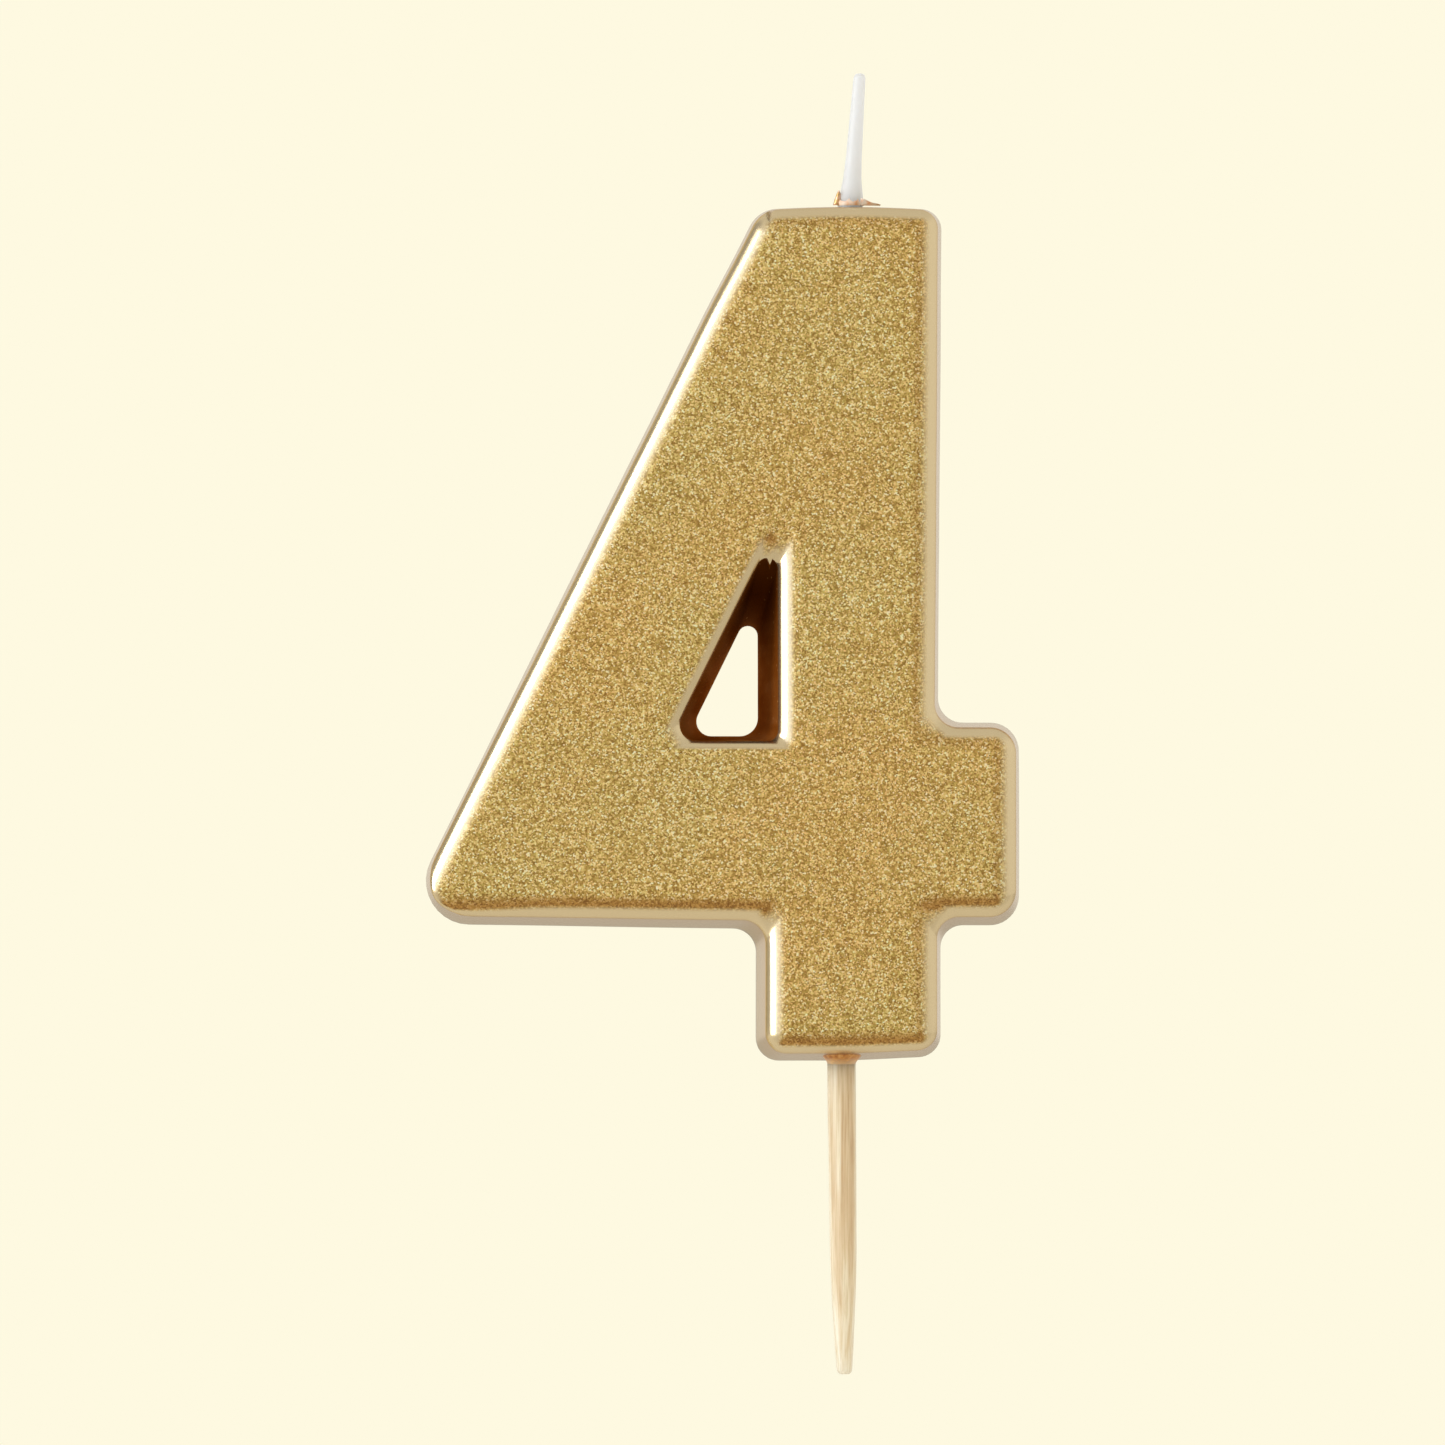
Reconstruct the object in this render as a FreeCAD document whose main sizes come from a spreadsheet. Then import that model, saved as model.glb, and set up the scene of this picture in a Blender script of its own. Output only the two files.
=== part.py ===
import FreeCAD, Part
import Sketcher
import math
import os

# A number birthday candle: a moulded wax figure four under a gold lacquer coat, with a
# cotton wick in its top and a wooden pick in its foot.
#
# Millimetres. X runs to the reader's right, Z up, and the numeral's face looks along -Y.
# The origin is on the pick's axis, level with the numeral's lowest edge and halfway
# through its thickness: the point that meets the top of a cake.

SIZES = {
    # the numeral, measured over the lacquer at its back face
    "numeral_height": 70.0,
    "thickness": 10.0,
    "stem_right": 8.0,
    "stem_left": 7.15,
    "arm_reach": 14.5,
    "arm_top": 27.7,
    "arm_bottom": 11.1,
    "tip_reach": 36.6,
    "draft": 3.6,
    "face_round": 0.95,
    "outer_round": 1.6,
    "inner_round": 1.4,
    "crown_round": 2.6,
    "tip_round": 3.9,
    # the triangular counter, measured at the face
    "counter_right": 5.6,
    "counter_left": 14.2,
    "counter_bottom": 25.9,
    "counter_draft": 7.0,
    "counter_round": 0.8,
    "lacquer": 0.15,
    # the wick and the wax round its free end, heights from the numeral's top
    "wick_place": 0.5,
    "wick_lean": 4.1,
    "wick_depth": 46.0,
    "wick_above": 10.1,
    "ply_radius": 0.2,
    "ply_spread": 0.235,
    "ply_pitch": 5.0,
    "bore_gap": 0.01,
    "coat_foot_depth": 2.1,
    "coat_foot_rise": 0.7,
    "coat_foot_radius": 0.98,
    "coat_bulge_radius": 1.03,
    "coat_bulge_rise": 1.4,
    "coat_neck_radius": 0.72,
    "coat_neck_rise": 3.2,
    "coat_tip_radius": 0.49,
    "coat_rise": 10.6,
    "coat_round": 0.3,
    # the lacquer torn up round the wick: a low ring and a flake, sideways from the wick's axis
    "crest_radius": 1.45,
    "crest_depth": 1.5,
    "crest_rise": 0.3,
    "flake_left": 1.7,
    "flake_right": 0.8,
    "flake_shoulder": 0.9,
    "flake_peak": 1.3,
    "flake_rise": 1.4,
    "flake_thickness": 0.25,
    # the pick
    "pick_radius": 1.2,
    "pick_shoulder": 0.3,
    "shank_end": 11.0,
    "taper_middle": 15.5,
    "taper_middle_radius": 1.12,
    "pick_end": 25.5,
    "pick_end_radius": 0.68,
    "pick_end_round": 0.3,
    "pick_depth": 14.0,
    "bead_radius": 1.9,
    "bead_middle_radius": 1.55,
    "bead_middle_rise": 0.15,
    "bead_skirt": 0.12,
}

WICK_PLIES = 3
SAME_PLACE = 0.01
# the numbers that constraints use for an edge's start, its end, its centre and the first axis
START = 1
END = 2
CENTRE = 3
FIRST_AXIS = -1
# the helix mode that takes a pitch and a height
PITCH_AND_HEIGHT = 0

doc = FreeCAD.newDocument("number_candle")
sheet = doc.addObject("Spreadsheet::Sheet", "sizes")
for row, (alias, size) in enumerate(SIZES.items(), start=1):
    sheet.set(f"A{row}", alias)
    sheet.set(f"B{row}", str(size))
    sheet.setAlias(f"B{row}", alias)
doc.recompute()


def value(expression):
    """An expression's value in millimetres or degrees."""
    return float(sheet.evalExpression(expression))


def bind(thing, **expressions):
    """Tie an object's properties to the sheet."""
    for name, expression in expressions.items():
        thing.setExpression(name, expression)


def origin_part(body, role):
    """One of the planes or axes of the body's own origin."""
    return next(one for one in body.Origin.OriginFeatures if one.Role == role)


def sketch_on(body, role, name, depth="0"):
    """A sketch on one of the body's own planes, moved along the plane's normal by depth."""
    sketch = body.newObject("Sketcher::SketchObject", name)
    sketch.AttachmentSupport = [(origin_part(body, role), "")]
    sketch.MapMode = "FlatFace"
    sketch.setExpression("AttachmentOffset.Base.z", depth)
    return sketch


def tie(sketch, kind, place, expression):
    """Give the sketch a dimension that follows the sheet."""
    number = sketch.addConstraint(Sketcher.Constraint(kind, *place, value(expression)))
    sketch.setExpression(f"Constraints[{number}]", expression)


def add_polygon(sketch, corners):
    """Close a loop of straight edges, with both coordinates of every corner tied to the sheet."""
    first = sketch.GeometryCount
    points = [FreeCAD.Vector(value(across), value(up), 0) for across, up in corners]
    for here, there in zip(points, points[1:] + points[:1]):
        sketch.addGeometry(Part.LineSegment(here, there), False)
    for index in range(len(corners)):
        follower = first + (index + 1) % len(corners)
        sketch.addConstraint(Sketcher.Constraint("Coincident", first + index, END, follower, START))
    for index, (across, up) in enumerate(corners):
        tie(sketch, "DistanceX", (first + index, START), across)
        tie(sketch, "DistanceY", (first + index, START), up)


def new_body(name):
    body = doc.addObject("PartDesign::Body", name)
    body.Label = name
    return body


def turned(name, corners):
    """A body turned about its Z axis from a half profile of (radius, height) corners."""
    body = new_body(name)
    sketch = sketch_on(body, "XZ_Plane", f"{name}_profile")
    add_polygon(sketch, corners)
    solid = body.newObject("PartDesign::Revolution", f"{name}_turned")
    solid.Profile = sketch
    solid.ReferenceAxis = (sketch, ["V_Axis"])
    solid.Angle = 360
    doc.recompute()
    return body


def boolean(kind, name, base, *tools):
    """Cut the tools from the base, or fuse them to it, one after another."""
    result = base
    for number, tool in enumerate(tools, start=1):
        last = number == len(tools)
        step = doc.addObject(kind, name if last else f"{name}_step_{number}")
        step.Base = result
        step.Tool = tool
        result = step
    result.Label = name
    return result


def edge_names(shape, wanted):
    """Names of the shape's edges that the test accepts."""
    return [f"Edge{n}" for n, edge in enumerate(shape.Edges, start=1) if wanted(edge)]


def is_rim(*heights):
    """A test for the circles that a turned body has at the heights."""
    levels = [value(height) for height in heights]

    def wanted(edge):
        middle = edge.BoundBox.Center.z
        flat = edge.BoundBox.ZLength < SAME_PLACE
        return flat and edge.isClosed() and any(abs(middle - level) < SAME_PLACE for level in levels)

    return wanted


def rounded(body, name, radius, wanted):
    """Round the edges of the body's newest feature that the test accepts."""
    base = body.Tip
    names = edge_names(base.Shape, wanted)
    if not names:
        raise ValueError(f"{name}: no edge to round")
    fillet = body.newObject("PartDesign::Fillet", name)
    fillet.Base = (base, names)
    bind(fillet, Radius=radius)
    doc.recompute()
    return fillet


# ---------------------------------------------------------------- the numeral

SLOPE = "((sizes.tip_reach - sizes.stem_left) / (sizes.numeral_height - sizes.arm_bottom))"


def outline_corners(inset):
    """The figure's ten corners, clockwise from the top left, and each one's rounding."""
    top = f"sizes.numeral_height - {inset}"
    foot = f"0 + {inset}"
    arm_top = f"sizes.arm_top - {inset}"
    arm_bottom = f"sizes.arm_bottom + {inset}"
    right = f"sizes.stem_right - {inset}"
    left = f"-sizes.stem_left + {inset}"
    reach = f"sizes.arm_reach - {inset}"
    # moving the sloping edge in by the inset moves it sideways by more
    aside = f"{inset} * sqrt(1 + {SLOPE} * {SLOPE})"
    crown = f"-sizes.stem_left + {aside} - {inset} * {SLOPE}"
    tip = f"-sizes.tip_reach + {aside} + {inset} * {SLOPE}"
    return [
        (crown, top, "crown_round"),
        (right, top, "crown_round"),
        (right, arm_top, "inner_round"),
        (reach, arm_top, "outer_round"),
        (reach, arm_bottom, "outer_round"),
        (right, arm_bottom, "inner_round"),
        (right, foot, "outer_round"),
        (left, foot, "outer_round"),
        (left, arm_bottom, "inner_round"),
        (tip, arm_bottom, "tip_round"),
    ]


def counter_corners(inset):
    """The counter's three corners at the face: its long side lies parallel to the sloping edge."""
    aside = f"{inset} * sqrt(1 + {SLOPE} * {SLOPE})"
    right = f"-sizes.counter_right + {inset}"
    bottom = f"sizes.counter_bottom - {inset}"
    left = f"-sizes.counter_left - {aside} - {inset} * {SLOPE}"
    apex_width = f"({right} - ({left}))"
    return [(left, bottom), (right, bottom), (right, f"{bottom} + {apex_width} / {SLOPE}")]


def starts_at(corners, level):
    """A test for edges through the thickness that start at one of the corners, in the plane y = level."""
    places = [(value(across), value(up)) for across, up in corners]

    def wanted(edge):
        near, far = sorted(edge.Vertexes, key=lambda vertex: abs(vertex.Y - level))
        if abs(far.Y - level) < value("sizes.thickness / 2"):
            return False
        return any(math.hypot(near.X - x, near.Z - z) < SAME_PLACE for x, z in places)

    return wanted


def lies_on(level):
    """A test for edges that lie wholly in the plane y = level."""

    def wanted(edge):
        box = edge.BoundBox
        return abs(box.YMin - level) < SAME_PLACE and abs(box.YMax - level) < SAME_PLACE

    return wanted


def numeral(name, inset):
    """The moulded figure with its surface moved in by the inset: drafted walls, rounded face edges."""
    back = f"sizes.thickness / 2 - {inset}"
    body = new_body(name)
    outline = sketch_on(body, "XZ_Plane", f"{name}_outline", f"-({back})")
    corners = outline_corners(inset)
    add_polygon(outline, [corner[:2] for corner in corners])
    pad = body.newObject("PartDesign::Pad", f"{name}_pad")
    pad.Profile = outline
    bind(pad, Length=f"2 * ({back})", TaperAngle="-sizes.draft")
    doc.recompute()
    for alias in ("crown_round", "outer_round", "inner_round", "tip_round"):
        places = [corner[:2] for corner in corners if corner[2] == alias]
        change = f"+ {inset}" if alias == "inner_round" else f"- {inset}"
        rounded(body, f"{name}_{alias}", f"sizes.{alias} {change}", starts_at(places, value(back)))

    whole = body.Shape.Volume
    counter = sketch_on(body, "XZ_Plane", f"{name}_counter", back)
    add_polygon(counter, counter_corners(inset))
    pocket = body.newObject("PartDesign::Pocket", f"{name}_pocket")
    pocket.Profile = counter
    bind(pocket, Length=f"2 * ({back})", TaperAngle="-sizes.counter_draft")
    doc.recompute()
    if body.Shape.Volume >= whole:
        raise ValueError(f"{name}: the counter cuts nothing")
    front = -value(back)
    corner_test = starts_at(counter_corners(inset), front)
    rounded(body, f"{name}_counter_round", f"sizes.counter_round + {inset}", corner_test)
    rounded(body, f"{name}_face_round", f"sizes.face_round - {inset}", lies_on(front))
    return body


coated_figure = numeral("coated_figure", "0")
bare_figure = numeral("bare_figure", "sizes.lacquer")


# ---------------------------------------------------------------- the pick

def make_pick():
    """A stick pointed at both ends: its upper taper is the part that sits in the wax."""
    body = turned("wooden_pick", [
        ("0", "-sizes.pick_end"),
        ("sizes.pick_end_radius", "-sizes.pick_end"),
        ("sizes.taper_middle_radius", "-sizes.taper_middle"),
        ("sizes.pick_radius", "-sizes.shank_end"),
        ("sizes.pick_radius", "-sizes.pick_shoulder"),
        ("sizes.taper_middle_radius", "sizes.taper_middle - sizes.shank_end - sizes.pick_shoulder"),
        ("sizes.pick_end_radius", "sizes.pick_depth"),
        ("0", "sizes.pick_depth"),
    ])
    rounded(body, "wooden_pick_ends", "sizes.pick_end_round", is_rim("-sizes.pick_end", "sizes.pick_depth"))
    return body


wooden_pick = make_pick()


def make_bead():
    """The drop of lacquer that set round the pick, under the numeral."""
    blank = turned("bead_blank", [
        ("0", "-sizes.pick_shoulder"),
        ("sizes.pick_radius + sizes.bead_skirt", "-sizes.pick_shoulder"),
        ("sizes.bead_middle_radius", "sizes.bead_middle_rise"),
        ("sizes.bead_radius", "sizes.pick_radius"),
        ("0", "sizes.pick_radius"),
    ])
    return boolean("Part::Cut", "lacquer_bead", blank, coated_figure, wooden_pick)


lacquer_bead = make_bead()


# ---------------------------------------------------------------- the wick

def place_on_wick(thing):
    """Stand a piece made about its own Z axis on the wick's leaning axis, at the numeral's top."""
    base = FreeCAD.Vector(value("sizes.wick_place"), 0, value("sizes.numeral_height"))
    lean = FreeCAD.Rotation(FreeCAD.Vector(0, 1, 0), value("sizes.wick_lean"))
    thing.Placement = FreeCAD.Placement(base, lean)


def make_ply(number):
    """One twisted strand of the wick, from its lower end in the wax to the free end."""
    name = f"wick_ply_{number}"
    body = new_body(name)
    section = sketch_on(body, "XY_Plane", f"{name}_section", "-sizes.wick_depth")
    centre = FreeCAD.Vector(value("sizes.ply_spread"), 0, 0)
    upright = FreeCAD.Vector(0, 0, 1)
    circle = section.addGeometry(Part.Circle(centre, upright, value("sizes.ply_radius")), False)
    section.addConstraint(Sketcher.Constraint("PointOnObject", circle, CENTRE, FIRST_AXIS))
    tie(section, "DistanceX", (circle, CENTRE), "sizes.ply_spread")
    tie(section, "Radius", (circle,), "sizes.ply_radius")
    strand = body.newObject("PartDesign::AdditiveHelix", f"{name}_strand")
    strand.Profile = section
    strand.ReferenceAxis = (origin_part(body, "Z_Axis"), [""])
    strand.Mode = PITCH_AND_HEIGHT
    bind(strand, Pitch="sizes.ply_pitch", Height="sizes.wick_depth + sizes.wick_above")
    doc.recompute()
    place_on_wick(body)
    turn = FreeCAD.Rotation(FreeCAD.Vector(0, 0, 1), 360 * (number - 1) / WICK_PLIES)
    body.Placement = body.Placement.multiply(FreeCAD.Placement(FreeCAD.Vector(), turn))
    return body


wick_plies = [make_ply(number) for number in range(1, WICK_PLIES + 1)]

WICK_RADIUS = "(sizes.ply_spread + sizes.ply_radius + sizes.bore_gap)"


def make_wick_bore():
    """The round space that the twisted plies fill, in the wax and in the coat."""
    bore = doc.addObject("Part::Cylinder", "wick_bore")
    bind(bore, Radius=WICK_RADIUS, Height="sizes.wick_depth + sizes.wick_above + 2 * sizes.ply_radius")
    place_on_wick(bore)
    down = FreeCAD.Vector(0, 0, -value("sizes.wick_depth + sizes.ply_radius"))
    bore.Placement = bore.Placement.multiply(FreeCAD.Placement(down, FreeCAD.Rotation()))
    return bore


wick_bore = make_wick_bore()


def make_wick_coat():
    """The wax on the wick's free end, with the bulge where it met the numeral's top."""
    blank = turned("wick_coat_blank", [
        ("0", "-sizes.coat_foot_depth"),
        ("sizes.coat_foot_radius", "-sizes.coat_foot_depth"),
        ("sizes.coat_foot_radius", "sizes.coat_foot_rise"),
        ("sizes.coat_bulge_radius", "sizes.coat_bulge_rise"),
        ("sizes.coat_neck_radius", "sizes.coat_neck_rise"),
        ("sizes.coat_tip_radius", "sizes.coat_rise"),
        ("0", "sizes.coat_rise"),
    ])
    rounded(blank, "wick_coat_tip", "sizes.coat_round", is_rim("sizes.coat_rise"))
    place_on_wick(blank)
    return boolean("Part::Cut", "wick_wax_coat", blank, coated_figure, wick_bore), blank


wick_wax_coat, wick_coat_blank = make_wick_coat()


def make_crest():
    """The lacquer torn up round the wick: a low ring with one pointed flake on its left."""
    ring = turned("crest_ring", [
        ("0", "-sizes.crest_depth"),
        ("sizes.crest_radius", "-sizes.crest_depth"),
        ("sizes.crest_radius", "0"),
        ("sizes.coat_bulge_radius", "sizes.crest_rise"),
        ("0", "sizes.crest_rise"),
    ])
    place_on_wick(ring)
    flake = new_body("crest_flake")
    outline = sketch_on(flake, "XZ_Plane", "crest_flake_outline")
    add_polygon(outline, [
        ("-sizes.flake_left", "-sizes.crest_rise"),
        ("-sizes.flake_right", "-sizes.crest_rise"),
        ("-sizes.flake_shoulder", "sizes.crest_rise"),
        ("-sizes.flake_peak", "sizes.flake_rise"),
    ])
    pad = flake.newObject("PartDesign::Pad", "crest_flake_pad")
    pad.Profile = outline
    pad.Midplane = True
    bind(pad, Length="sizes.flake_thickness")
    doc.recompute()
    place_on_wick(flake)
    torn = boolean("Part::Fuse", "crest_blank", ring, flake)
    return boolean("Part::Cut", "lacquer_crest", torn, coated_figure, wick_coat_blank)


lacquer_crest = make_crest()


# ---------------------------------------------------------------- wax and lacquer

wax_numeral = boolean("Part::Cut", "wax_numeral", bare_figure, wooden_pick, wick_bore)
gold_lacquer = boolean("Part::Cut", "gold_lacquer", coated_figure, bare_figure, wooden_pick, wick_bore)

PIECES = [wax_numeral, gold_lacquer, lacquer_crest, lacquer_bead, wooden_pick, wick_wax_coat]
PIECES += wick_plies

doc.recompute()
for thing in doc.Objects:
    if "Invalid" in thing.State or "Error" in thing.State:
        raise RuntimeError(f"{thing.Name} is {thing.State}")

os.makedirs("parts", exist_ok=True)
for piece in PIECES:
    shape = piece.Shape
    if shape.isNull() or not shape.isValid() or not shape.Solids:
        raise RuntimeError(f"{piece.Label} has no valid solid")
    shape.exportStep(f"parts/{piece.Label}.step")
    print(f"{piece.Label}: {len(shape.Solids)} solid, {shape.Volume:.2f} mm3")
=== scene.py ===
import bpy
import bmesh
import math
from mathutils import Matrix, Vector, geometry, noise


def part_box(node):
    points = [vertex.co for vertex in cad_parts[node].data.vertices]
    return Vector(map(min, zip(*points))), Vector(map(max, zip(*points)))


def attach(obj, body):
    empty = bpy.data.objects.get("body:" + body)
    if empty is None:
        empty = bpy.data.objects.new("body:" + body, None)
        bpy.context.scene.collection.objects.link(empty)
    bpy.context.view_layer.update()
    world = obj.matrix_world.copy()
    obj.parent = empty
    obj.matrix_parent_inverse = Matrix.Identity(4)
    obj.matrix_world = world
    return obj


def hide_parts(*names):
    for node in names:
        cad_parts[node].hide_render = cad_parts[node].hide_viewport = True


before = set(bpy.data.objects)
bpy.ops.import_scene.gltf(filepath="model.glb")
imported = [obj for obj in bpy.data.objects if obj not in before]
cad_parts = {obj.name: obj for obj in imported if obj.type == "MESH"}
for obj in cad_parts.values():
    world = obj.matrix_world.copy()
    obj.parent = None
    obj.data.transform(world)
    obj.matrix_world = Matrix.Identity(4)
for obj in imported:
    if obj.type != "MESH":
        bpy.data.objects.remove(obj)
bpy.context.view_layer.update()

# A gold number candle, numeral four. The script works in millimetres in the frame's own axes
# (X to the reader's right, Z up, the numeral's face towards -Y) and writes meshes in metres.

MM = 0.001
ROOT = "root"


def node_box(node):
    """A CAD node's lowest and highest corners, in millimetres."""
    low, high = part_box(node)
    return Vector(low) / MM, Vector(high) / MM


# ---------------------------------------------------------------- sizes

FIGURE_LOW, FIGURE_HIGH = node_box("gold_lacquer")
PICK_TIP = node_box("wooden_pick")[0].z
WICK_TIP = node_box("wick_wax_coat")[1].z
BEAD_FOOT = node_box("lacquer_bead")[0].z

TOP = FIGURE_HIGH.z
BACK = FIGURE_HIGH.y
# the casting's soft waves move its surface by about this much, so it starts that far inside the box
FRONT = FIGURE_LOW.y + 0.05
ARM_REACH = FIGURE_HIGH.x - 0.08
STEM_RIGHT = 8.0
STEM_LEFT = -7.15
ARM_TOP = 27.7
ARM_BOTTOM = 11.1
TIP_CORNER = -36.33
SLOPE = (STEM_LEFT - TIP_CORNER) / (TOP - ARM_BOTTOM)

# the wall leans in from the back edge, then rolls over to the face with a radius that grows:
# (tilt from the face in degrees, radius)
BACK_ROUND = 0.3
WALL_LEAN = 0.6
SLOPE_LEAN = 0.28
ROLL_RADII = [(0.0, 3.0), (25.0, 2.5), (50.0, 1.5), (86.0, 0.5)]

COUNTER_RIGHT = -5.6
COUNTER_LEFT = -14.2
COUNTER_BOTTOM = 26.0
COUNTER_APEX = COUNTER_BOTTOM + (COUNTER_RIGHT - COUNTER_LEFT) / SLOPE
# the counter's rim, which is broader on its right side
RIM_RADII = [(0.0, 1.9), (25.0, 1.6), (50.0, 0.9), (83.0, 0.2)]
BROAD_RIM_RADII = [(0.0, 3.0), (15.0, 2.6), (35.0, 2.1), (56.0, 1.6), (62.0, 0.5), (83.0, 0.2)]

LACQUER = 0.15

WICK_FOOT = Vector((0.5, 0.0, TOP))
WICK_LEAN = math.tan(math.radians(4.1))
PICK_RADIUS = 1.2
PICK_ENTRY = -0.26
PICK_LEAN = 0.0095


def wick_centre(height):
    """The wick's middle at a height above the figure's top: it leans to the right."""
    return WICK_FOOT + Vector((WICK_LEAN * height, 0.0, height))


def pick_centre(height):
    """The pick's middle, which leans a little to the right as it goes down."""
    return Vector((PICK_ENTRY - PICK_LEAN * height, 0.0, height))


def ease(low, high, amount):
    """0 at low, 1 at high, smooth between and level beyond; low may be the larger one."""
    part = min(max((amount - low) / (high - low), 0.0), 1.0)
    return part * part * (3.0 - 2.0 * part)


def straight_between(knots, place):
    """A value at a place, straight between (place, value) knots in rising order."""
    for (low, first), (high, second) in zip(knots, knots[1:]):
        if place <= high:
            return first + (second - first) * max(place - low, 0.0) / (high - low)
    return knots[-1][1]


def blended(first, second, part):
    """The values that lie a part of the way from one list to another."""
    return [start + (end - start) * part for start, end in zip(first, second)]


# ---------------------------------------------------------------- outlines and surfaces

def moved_in(corners, insets):
    """A clockwise loop's corners after each side, from a corner to the next, moves in by its inset."""
    count = len(corners)
    moved = []
    for index, corner in enumerate(corners):
        before = (corner - corners[index - 1]).normalized()
        after = (corners[(index + 1) % count] - corner).normalized()
        cross = before.x * after.y - before.y * after.x
        shift = (before * insets[index] - after * insets[index - 1]) / cross
        moved.append(corner + shift)
    return moved


def rounded_loop(corners, radii, steps, spans):
    """Points round a loop whose corners are arcs of steps points and whose sides are cut into spans."""
    count = len(corners)
    arcs = []
    for index, corner in enumerate(corners):
        before = (corner - corners[index - 1]).normalized()
        after = (corners[(index + 1) % count] - corner).normalized()
        turn = before.angle_signed(after)
        reach = radii[index] * math.tan(abs(turn) / 2)
        start = corner - before * reach
        side = 1.0 if turn > 0 else -1.0
        centre = start + Vector((before.y, -before.x)) * radii[index] * side
        arc = []
        for step in range(steps + 1):
            swing = Matrix.Rotation(-turn * step / steps, 2)
            arc.append(centre + swing @ (start - centre))
        arcs.append(arc)
    loop = []
    for index, arc in enumerate(arcs):
        loop += arc
        following = arcs[(index + 1) % count][0]
        loop += [arc[-1].lerp(following, part / spans[index]) for part in range(1, spans[index])]
    return loop


# the zone colour is red on smooth edges, green on walls and blue where the gold turns brown
# blue is lacquer collected thick and also painted shade along edges and the rim; in the counter green is
# painted shade
FLAT = (0.0, 0.0, 0.0)
SIDE = (0.0, 1.0, 0.0)
BEHIND = (0.4, 0.0, 0.0)

# points closer than this are one point, and a triangle lower than this is left out
WELD = 0.0005
SLIVER = 0.0005


class Shell:
    """Rings of points joined into a surface, with a zone colour on every point."""

    def __init__(self):
        self.mesh = bmesh.new()
        self.zone = self.mesh.verts.layers.float_color.new("zone")

    def ring(self, points, zone):
        """New points with one zone colour."""
        verts = []
        for point in points:
            vert = self.mesh.verts.new(point)
            vert[self.zone] = (*zone, 1.0)
            verts.append(vert)
        return verts

    def join(self, first, second, slot=0):
        """A band of faces between two rings of as many points."""
        count = len(first)
        for index in range(count):
            after = (index + 1) % count
            face = self.mesh.faces.new((first[index], first[after], second[after], second[index]))
            face.material_index = slot

    def weld(self):
        """Joins points that lie together and turns every face outwards."""
        bmesh.ops.remove_doubles(self.mesh, verts=self.mesh.verts, dist=WELD)
        bmesh.ops.recalc_face_normals(self.mesh, faces=self.mesh.faces)

    def finish(self, name, *materials):
        """A linked object in metres, smooth shaded, with the materials in their slots."""
        self.weld()
        for face in self.mesh.faces:
            face.smooth = True
        self.mesh.transform(Matrix.Scale(MM, 4))
        data = bpy.data.meshes.new(name)
        self.mesh.to_mesh(data)
        self.mesh.free()
        for material in materials:
            data.materials.append(material)
        piece = bpy.data.objects.new(name, data)
        bpy.context.scene.collection.objects.link(piece)
        return piece


def fill_between(shell, outer, inner, depth, zone, spacing):
    """A flat sheet at a depth from the outer loop to the inner one, with a grid of points inside."""
    borders = outer + inner
    first = len(outer)
    edges = [(index, (index + 1) % first) for index in range(first)]
    edges += [(first + index, first + (index + 1) % len(inner)) for index in range(len(inner))]

    def inside(loop, place):
        crossings = 0
        for here, there in zip(loop, loop[1:] + loop[:1]):
            if (here.y > place.y) != (there.y > place.y):
                across = here.x + (place.y - here.y) * (there.x - here.x) / (there.y - here.y)
                crossings += across > place.x
        return crossings % 2 == 1

    def on_sheet(place):
        return inside(outer, place) and not inside(inner, place)

    def clear(place):
        """True away from the borders, so that no triangle is thin."""
        return all((place - point).length > 0.6 * spacing for point in borders)

    low = Vector((min(point.x for point in outer), min(point.y for point in outer)))
    high = Vector((max(point.x for point in outer), max(point.y for point in outer)))
    grid = []
    for row in range(int((high.y - low.y) / spacing) + 1):
        for column in range(int((high.x - low.x) / spacing) + 1):
            place = low + Vector((column + 0.5 * (row % 2), row)) * spacing
            if on_sheet(place) and clear(place):
                grid.append(place)
    places, _, faces, *_ = geometry.delaunay_2d_cdt(borders + grid, edges, [], 0, 1e-5)
    verts = shell.ring([Vector((place.x, depth, place.y)) for place in places], zone)
    for face in faces:
        middle = sum((places[index] for index in face), Vector((0.0, 0.0))) / len(face)
        here, there, last = [places[index].to_3d() for index in face]
        longest = max((there - here).length, (last - there).length, (here - last).length)
        height = 2.0 * geometry.area_tri(here, there, last) / longest
        if on_sheet(middle) and height >= SLIVER:
            shell.mesh.faces.new([verts[index] for index in face])
    for vert in [one for one in verts if not one.link_faces]:
        shell.mesh.verts.remove(vert)


# ---------------------------------------------------------------- materials

def new_material(name):
    """A node material and its shader."""
    material = bpy.data.materials.new(name)
    material.use_nodes = True
    return material, material.node_tree.nodes["Principled BSDF"]


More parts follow.
